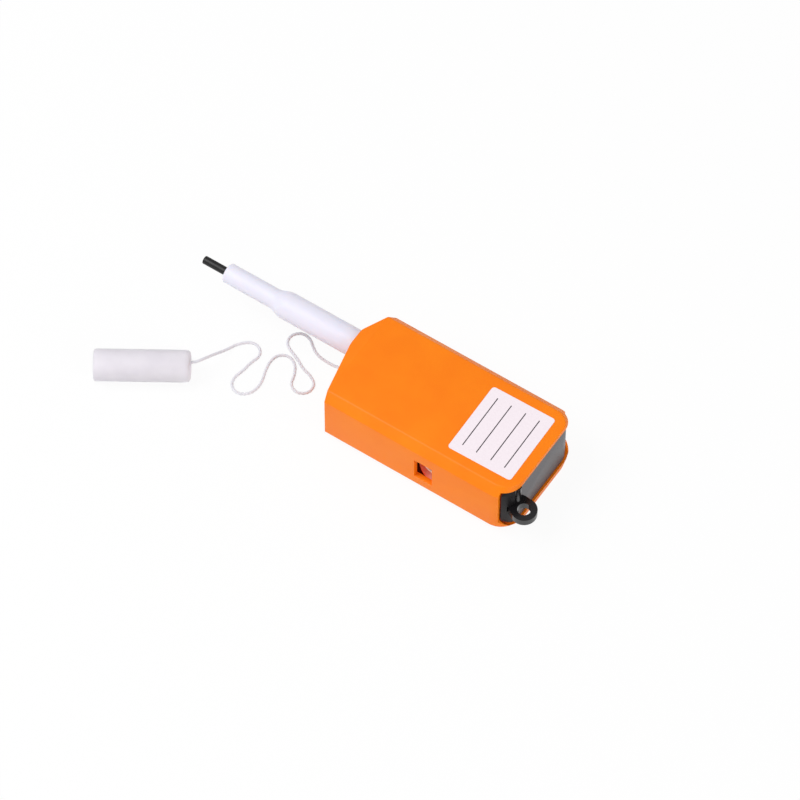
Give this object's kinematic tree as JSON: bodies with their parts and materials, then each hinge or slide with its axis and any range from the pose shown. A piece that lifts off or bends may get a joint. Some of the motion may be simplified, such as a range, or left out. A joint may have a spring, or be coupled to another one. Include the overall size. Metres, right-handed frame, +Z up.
{
  "type": "fibre connector cleaning pen",
  "caption": "Box-shaped push cleaner for fibre connectors: sliding nozzle with a slim tip, thread reels and ratchet inside, strap ring, and a dust cap on a thin cord.",
  "frame": {"origin": "middle of the pen's footprint on the surface it lies on, without the free cord and dust cap", "axes": "+X from the cleaning tip to the strap ring, -Y towards the inspection window, +Z up through the label"},
  "size_m": [0.1385, 0.0583, 0.0206],
  "materials": {
    "orange_abs": "moulded, satin",
    "dark_grey_abs": "moulded, fine grain",
    "black_abs": "moulded, glossy",
    "steel": "ground",
    "spring_steel": "drawn wire",
    "label_film": "printed film",
    "frosted_pe": "moulded, frosted and translucent",
    "braided_cord": "twisted polyester",
    "crimped_pvc": "moulded",
    "natural_acetal": "moulded",
    "cleaning_thread": "fine microfibre thread",
    "white_acetal": "moulded, satin",
    "black_acetal": "moulded"
  },
  "bodies": {
    "case": {"case_sleeve": "orange_abs", "chassis": "dark_grey_abs", "chassis_lid": "dark_grey_abs", "lid_screws": "steel", "strap_ring": "black_abs", "label": "label_film", "takeup_axle": "steel", "supply_axle": "steel", "thread_guide_pins": "steel", "pawl_pin": "steel", "dust_cap": "frosted_pe", "tether_cord": "braided_cord", "nose_cord_bead": "crimped_pvc", "cap_cord_bead": "crimped_pvc"},
    "plunger": {"nozzle": "white_acetal", "tip_sleeve": "black_acetal", "cleaning_tip": "natural_acetal", "carriage": "white_acetal", "tip_spring": "spring_steel", "return_spring": "spring_steel"},
    "takeup": {"takeup_reel": "natural_acetal", "takeup_thread": "cleaning_thread", "drive_gear": "natural_acetal"},
    "supply": {"supply_reel": "natural_acetal", "supply_thread": "cleaning_thread"},
    "pawl": {"ratchet_pawl": "natural_acetal"}
  },
  "joints": [
    {"name": "plunger_slide", "type": "slide", "parent": "case", "child": "plunger", "axis": [1, 0, 0], "range_m": [0, 0.008], "stiffness_N_per_m": 400, "springref_m": -0.004, "deforming": ["return_spring"]},
    {"name": "takeup_spin", "type": "hinge", "parent": "case", "child": "takeup", "pos_m": [0.0312, -0.0055, 0.004], "axis": [0, 0, 1], "range_deg": [-77, 0]},
    {"name": "supply_spin", "type": "hinge", "parent": "case", "child": "supply", "pos_m": [0.0095, -0.0055, 0.004], "axis": [0, 0, 1], "range_deg": [-54, 0]},
    {"name": "pawl_pivot", "type": "hinge", "parent": "case", "child": "pawl", "pos_m": [0.02035, -0.013, 0.0135], "axis": [0, 0, 1], "range_deg": [-8, 0], "stiffness_Nm_per_rad": 0.0004}
  ],
  "couplings": [
    {"joint": "takeup_spin", "follows": "plunger_slide", "rad_per_m": -166.67},
    {"joint": "supply_spin", "follows": "plunger_slide", "rad_per_m": -116.28}
  ]
}
